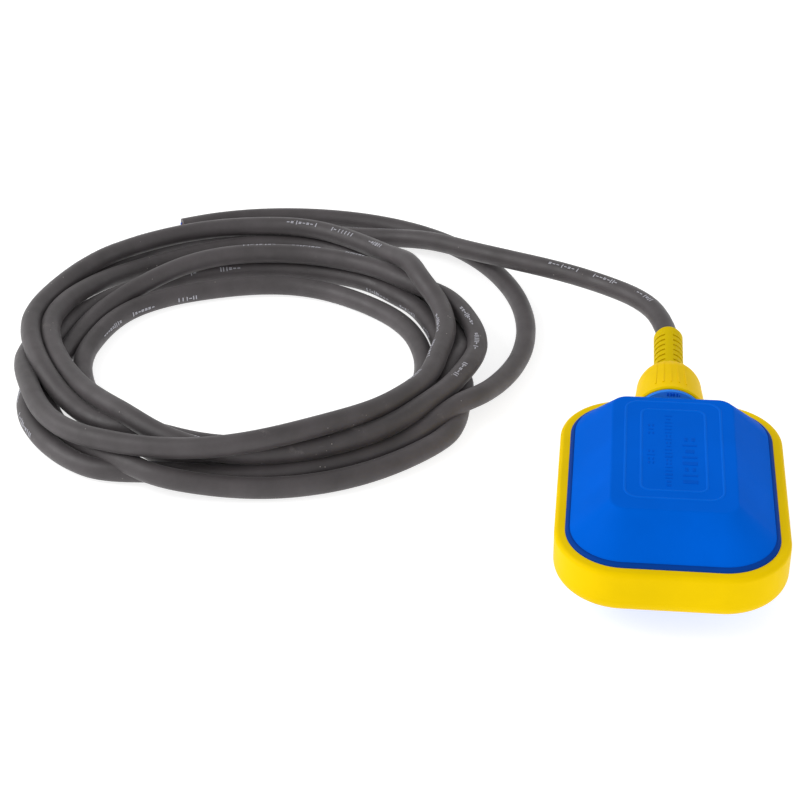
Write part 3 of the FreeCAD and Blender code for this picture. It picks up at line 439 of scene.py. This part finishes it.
def centreline(piece):
    """The points of a cord's own line, in metres."""
    bare_data = piece.data.copy()
    bare_data.bevel_depth = 0
    bare = bpy.data.objects.new("bare_line", bare_data)
    mesh = bpy.data.meshes.new_from_object(bare)
    line = np.array([v.co for v in mesh.vertices], float)
    bpy.data.meshes.remove(mesh)
    bpy.data.curves.remove(bare_data)
    return line


cord = cord_curve("cable", settled(LEAD_ROUTE + coil_points(), len(LEAD_ROUTE) - 1))
finish_piece(cord, jacket)
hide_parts("cable_lead", "cable_coil")
cord_line = centreline(cord)


class Walk:
    """Places along the cord: a point, its direction and a side that doesn't twist."""

    def __init__(self, line):
        self.line = line
        steps = np.diff(line, axis=0)
        lengths = np.linalg.norm(steps, axis=1)
        self.along = np.concatenate([[0], np.cumsum(lengths)])
        self.directions = steps / lengths[:, None]

    def at(self, distance):
        i = int(np.clip(np.searchsorted(self.along, distance) - 1, 0, len(self.directions) - 1))
        direction = self.directions[i]
        point = self.line[i] + direction * (distance - self.along[i])
        return Vector(point), Vector(direction)


walk = Walk(cord_line)


def print_marks():
    """Groups of plain ticks and dashes printed along the jacket, in place of its wording."""
    pitch, words, word_pitch = 118 * MM, (5, 7, 8), 20.5 * MM
    first, margin = 24 * MM, 10 * MM  # from the sleeve, and short of the cut end
    glyph_pitch, tall, thin = 1.95 * MM, 2.0 * MM, 0.45 * MM
    shapes = {
        "tick": [(-0.5, 0.0, thin, tall)],
        "pair": [(-0.9, 0.0, thin, tall), (0.35, 0.0, thin, tall)],
        "dash": [(-0.6, 0.0, 1.3 * MM, thin)],
        "double_dash": [(-0.6, -0.32, 1.3 * MM, thin), (-0.6, 0.32, 1.3 * MM, thin)],
    }
    twist_length = 0.72  # metres of cable for one turn of the print round it
    chance = random.Random(7)
    towards = Vector((0.05, -0.6, 0.8)).normalized()
    inner, outer = (CABLE_RADIUS - 0.05) * MM, (CABLE_RADIUS + 0.025) * MM
    vertices, faces = [], []

    def patch(start, lift, length, height, turn):
        """One thin curved patch: start along the cord, lift round it."""
        base = len(vertices)
        across = 3
        for radius in (inner, outer):
            for distance in (start, start + length):
                point, direction = walk.at(distance)
                side = (towards - direction * towards.dot(direction)).normalized()
                other = direction.cross(side)
                for k in range(across):
                    angle = turn + (lift + height * (k / (across - 1) - 0.5)) / outer
                    normal = side * math.cos(angle) + other * math.sin(angle)
                    vertices.append(point + normal * radius)
        ring = [0, 1, 2, 5, 4, 3]
        for a, b in zip(ring, ring[1:] + ring[:1]):
            faces.append((base + a, base + b, base + b + 6, base + a + 6))
        inside, outside = ((0, 3, 4, 1), (1, 4, 5, 2)), ((6, 7, 10, 9), (7, 8, 11, 10))
        for order in inside + outside:
            faces.append(tuple(base + k for k in order))

    start = first
    while start + len(words) * word_pitch < walk.along[-1] - margin:
        turn = 2 * math.pi * start / twist_length
        for w, glyphs in enumerate(words):
            for g in range(glyphs):
                for offset, lift, length, height in shapes[chance.choice(sorted(shapes))]:
                    place = start + w * word_pitch + g * glyph_pitch + offset * MM
                    patch(place, lift * MM, length, height, turn)
        start += pitch
    return add_mesh("cable_print", vertices, faces, smooth=False)


marks = finish_piece(print_marks(), ink)


def core_end(name, angle, material):
    """One core at the cut end: a short insulated stub with a shallow hollow in its end."""
    point, direction = walk.at(walk.along[-1])
    side = direction.orthogonal().normalized()
    other = direction.cross(side)
    off_axis = 1.75 * MM
    middle = point + (side * math.cos(angle) + other * math.sin(angle)) * off_axis
    rings = [(1.25, -1.0), (1.25, 0.25), (1.15, 0.35), (0.72, 0.35), (0.66, 0.3)]  # radius, out
    around = 20
    vertices, faces = [], []
    for radius, out in rings:
        for k in range(around):
            turn = 2 * math.pi * k / around
            spoke = side * math.cos(turn) + other * math.sin(turn)
            vertices.append(middle + spoke * radius * MM + direction * out * MM)
    for r in range(len(rings) - 1):
        for k in range(around):
            after = (k + 1) % around
            faces.append(
                (r * around + k, r * around + after, (r + 1) * around + after, (r + 1) * around + k)
            )
    faces.append(tuple(reversed(range(around))))
    faces.append(tuple(range((len(rings) - 1) * around, len(rings) * around)))
    return finish_piece(add_mesh(name, vertices, faces), material)


core_ends = [
    core_end(name, math.radians(turn), material)
    for name, turn, material, slot in (
        ("end_of_brown_core", 90, core_brown, "core_brown"),
        ("end_of_blue_core", 210, core_blue, "core_blue"),
        ("end_of_black_core", 330, core_black, "core_black"),
    )
]


# ---- relief on the float ------------------------------------------------------------------------

_, shell_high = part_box("upper_shell")
_, band_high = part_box("edge_band")
TOP = shell_high.z / MM
BAND_TOP = band_high.z / MM
RIM_HALF_WIDTH = shell_high.x / MM
RIM_HALF_LENGTH = shell_high.y / MM
RIM_RADIUS = 20
RELIEF_HEIGHT = 0.14  # of the frames and bars above the flat top


def raised_frame(name, half_width, front, back, radius):
    """A low soft line round a rounded rectangle on the flat top."""
    base, crest = -0.1, RELIEF_HEIGHT
    profile = [(-0.6, base), (0.6, base), (0.45, 0.05), (0.2, crest), (-0.2, crest), (-0.45, 0.05)]
    points, outward = rounded_loop(half_width, front, back, radius)
    lifted = [p + Vector((0, 0, TOP)) for p in points]
    # the frame's lighter blue is a painted highlight
    finish_piece(swept_ring(name, (lifted, outward), profile), blue_relief_painted_light)


raised_frame("outer_frame", 17.0, -24.5, 34.0, 5.0)
raised_frame("inner_frame", 11.4, -20.0, 29.0, 3.0)


def raised_bars(name, bars, height, place, material):
    """Low pads with sloping sides, given by middle and size on a plane that place puts in the frame."""
    vertices, faces = [], []
    slope = height
    for x, y, width, length in bars:
        base = len(vertices)
        for up, inset in ((-0.1, 0), (0, 0), (height, slope)):
            for side, end in ((-1, -1), (1, -1), (1, 1), (-1, 1)):
                corner = Vector((x + side * (width / 2 - inset), y + end * (length / 2 - inset), up))
                vertices.append(place @ corner * MM)
        for level in (0, 4):
            for k in range(4):
                here, after = base + level + k, base + level + (k + 1) % 4
                faces.append((here, after, after + 4, here + 4))
        faces.append((base + 3, base + 2, base + 1, base))
        faces.append((base + 8, base + 9, base + 10, base + 11))
    finish_piece(add_mesh(name, vertices, faces, smooth=False), material)


def bar_row(x, tall, start, end, pitch, seed):
    """A row of plain bars along Y, of uneven size, that stands where the real float has wording."""
    chance = random.Random(seed)
    bars = []
    y = start
    while y < end:
        kind = chance.choice(("full", "full", "short", "flat"))
        length = pitch * chance.choice((0.3, 0.34, 0.6))
        if kind == "flat":
            bars.append((x - tall / 4, y, tall * 0.22, pitch * 0.6))
            bars.append((x + tall / 4, y, tall * 0.22, pitch * 0.6))
        else:
            width = tall if kind == "full" else tall * 0.62
            bars.append((x, y, width, length))
        y += pitch
    return bars


on_top = Matrix.Translation((0, 0, TOP))
WORDING_ROWS = [  # x, tall, start, end, pitch, seed
    (5.6, 5.2, -14.5, 12.5, 3.6, 3),
    (-1.8, 2.6, -17.0, 26.0, 2.1, 5),
    (-8.0, 3.0, -4.0, 5.0, 2.3, 11),
    (-8.0, 3.0, 14.0, 19.0, 2.4, 12),
]
wording = [bar for row in WORDING_ROWS for bar in bar_row(*row)]
# the bars' darker blue is painted shade of the relief
raised_bars("top_bars", wording, RELIEF_HEIGHT, on_top, blue_marks_painted_shade)

spigot_low, spigot_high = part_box("gland_spigot")
COLLAR_RADIUS = spigot_high.x / MM
COLLAR_FRONT = 52.35
COLLAR_MARK_HEIGHT = 0.25
AXIS_HEIGHT = (spigot_low.z + spigot_high.z) / 2 / MM
on_collar = Matrix.Translation((0, COLLAR_FRONT, AXIS_HEIGHT)) @ Matrix.Rotation(math.pi / 2, 4, "X")
collar_bars = [(x, COLLAR_RADIUS - 1.5, 0.7, 1.5) for x in (-1.2, 0.0, 1.1, 2.3)]
collar_bars += [(0.6, COLLAR_RADIUS - 1.5, 0.9, 0.4), (3.2, COLLAR_RADIUS - 1.9, 0.5, 0.7)]
# the collar bars' darker blue is painted shade of the relief
raised_bars("collar_bars", collar_bars, COLLAR_MARK_HEIGHT, on_collar, blue_marks_painted_shade)


def shell_lip():
    """The narrow bead where the sloping roof meets the band, in a darker blue that is painted shade of
    the gap there.
    """
    loop_points, outward = rounded_loop(
        RIM_HALF_WIDTH, -RIM_HALF_LENGTH, RIM_HALF_LENGTH, RIM_RADIUS, 16
    )
    lifted = [p + Vector((0, 0, BAND_TOP)) for p in loop_points]
    profile = [(0.0, -0.5), (0.06, 0.1), (-0.25, 0.5), (-0.8, 0.95), (-1.5, 1.32), (-1.7, 0.9)]
    finish_piece(swept_ring("shell_lip", (lifted, outward), profile), blue_lip_painted_shade)


shell_lip()


# ---- stage, lights and camera -------------------------------------------------------------------


def floor():
    """A wide pale floor."""
    half = 12.0
    corners = [(-half, -half, 0), (half, -half, 0), (half, half, 0), (-half, half, 0)]
    piece = add_mesh("floor", corners, [(0, 1, 2, 3)], smooth=False)
    finish = Finish("floor_paper")
    cloud = finish.ramp(finish.noise(3, 2.0), [(0.3, 0.49), (0.7, 0.51)])
    finish.set(Base_Color=cloud, Roughness=0.8, Specular_IOR_Level=0.1)
    finish.set(Emission_Color=(1, 1, 1, 1), Emission_Strength=0.75)
    piece.data.materials.append(finish.material)


def area_light(name, place, power):
    """A square softbox that looks at the object's middle."""
    data = bpy.data.lights.new(name, "AREA")
    data.size = SOFTBOX_WIDTH
    data.energy = power
    light = bpy.data.objects.new(name, data)
    bpy.context.scene.collection.objects.link(light)
    light.location = place
    middle = (cad_low + cad_high) / 2
    light.rotation_mode = "QUATERNION"
    light.rotation_quaternion = (middle - light.location).to_track_quat("-Z", "Y")


floor()
SOFTBOX_WIDTH = 0.8
area_light("left_softbox", Vector((-1.2, -0.1, 0.95)), 10.0)
area_light("front_softbox", Vector((0.1, -1.4, 0.7)), 0.5)
area_light("right_softbox", Vector((1.4, -0.1, 0.7)), 1.6)


def studio_world():
    """Pale walls all round and a dimmer ceiling."""
    world = bpy.data.worlds.new("studio")
    world.use_nodes = True
    tree = world.node_tree
    place = tree.nodes.new("ShaderNodeTexCoord")
    split = tree.nodes.new("ShaderNodeSeparateXYZ")
    ramp = tree.nodes.new("ShaderNodeValToRGB")
    tree.links.new(place.outputs["Generated"], split.inputs["Vector"])
    tree.links.new(split.outputs["Z"], ramp.inputs["Fac"])
    tree.links.new(ramp.outputs["Color"], tree.nodes["Background"].inputs["Color"])
    walls, ceiling = ramp.color_ramp.elements
    walls.position, walls.color = 0.25, (1, 1, 1, 1)
    ceiling.position, ceiling.color = 1.0, (0.4, 0.4, 0.4, 1)
    return world


bpy.context.scene.world = studio_world()
bpy.context.scene.view_settings.view_transform = "Standard"

CAMERA_PLACE = Vector((-28.4, -542.2, 430.4)) * MM
CAMERA_DOWN = 34.1  # degrees below level
CAMERA_LEFT = 7.15  # degrees to the left of +Y
CAMERA_ROLL = -1.47
camera_data = bpy.data.cameras.new("camera")
camera_data.sensor_width = 36.0
camera_data.lens = 84.6
camera = bpy.data.objects.new("camera", camera_data)
bpy.context.scene.collection.objects.link(camera)
camera.rotation_mode = "QUATERNION"
turned = (
    Matrix.Rotation(math.radians(CAMERA_LEFT), 3, "Z")
    @ Matrix.Rotation(math.radians(90 - CAMERA_DOWN), 3, "X")
    @ Matrix.Rotation(math.radians(CAMERA_ROLL), 3, "Z")
)
camera.rotation_quaternion = turned.to_quaternion()
camera.location = CAMERA_PLACE
bpy.context.scene.camera = camera
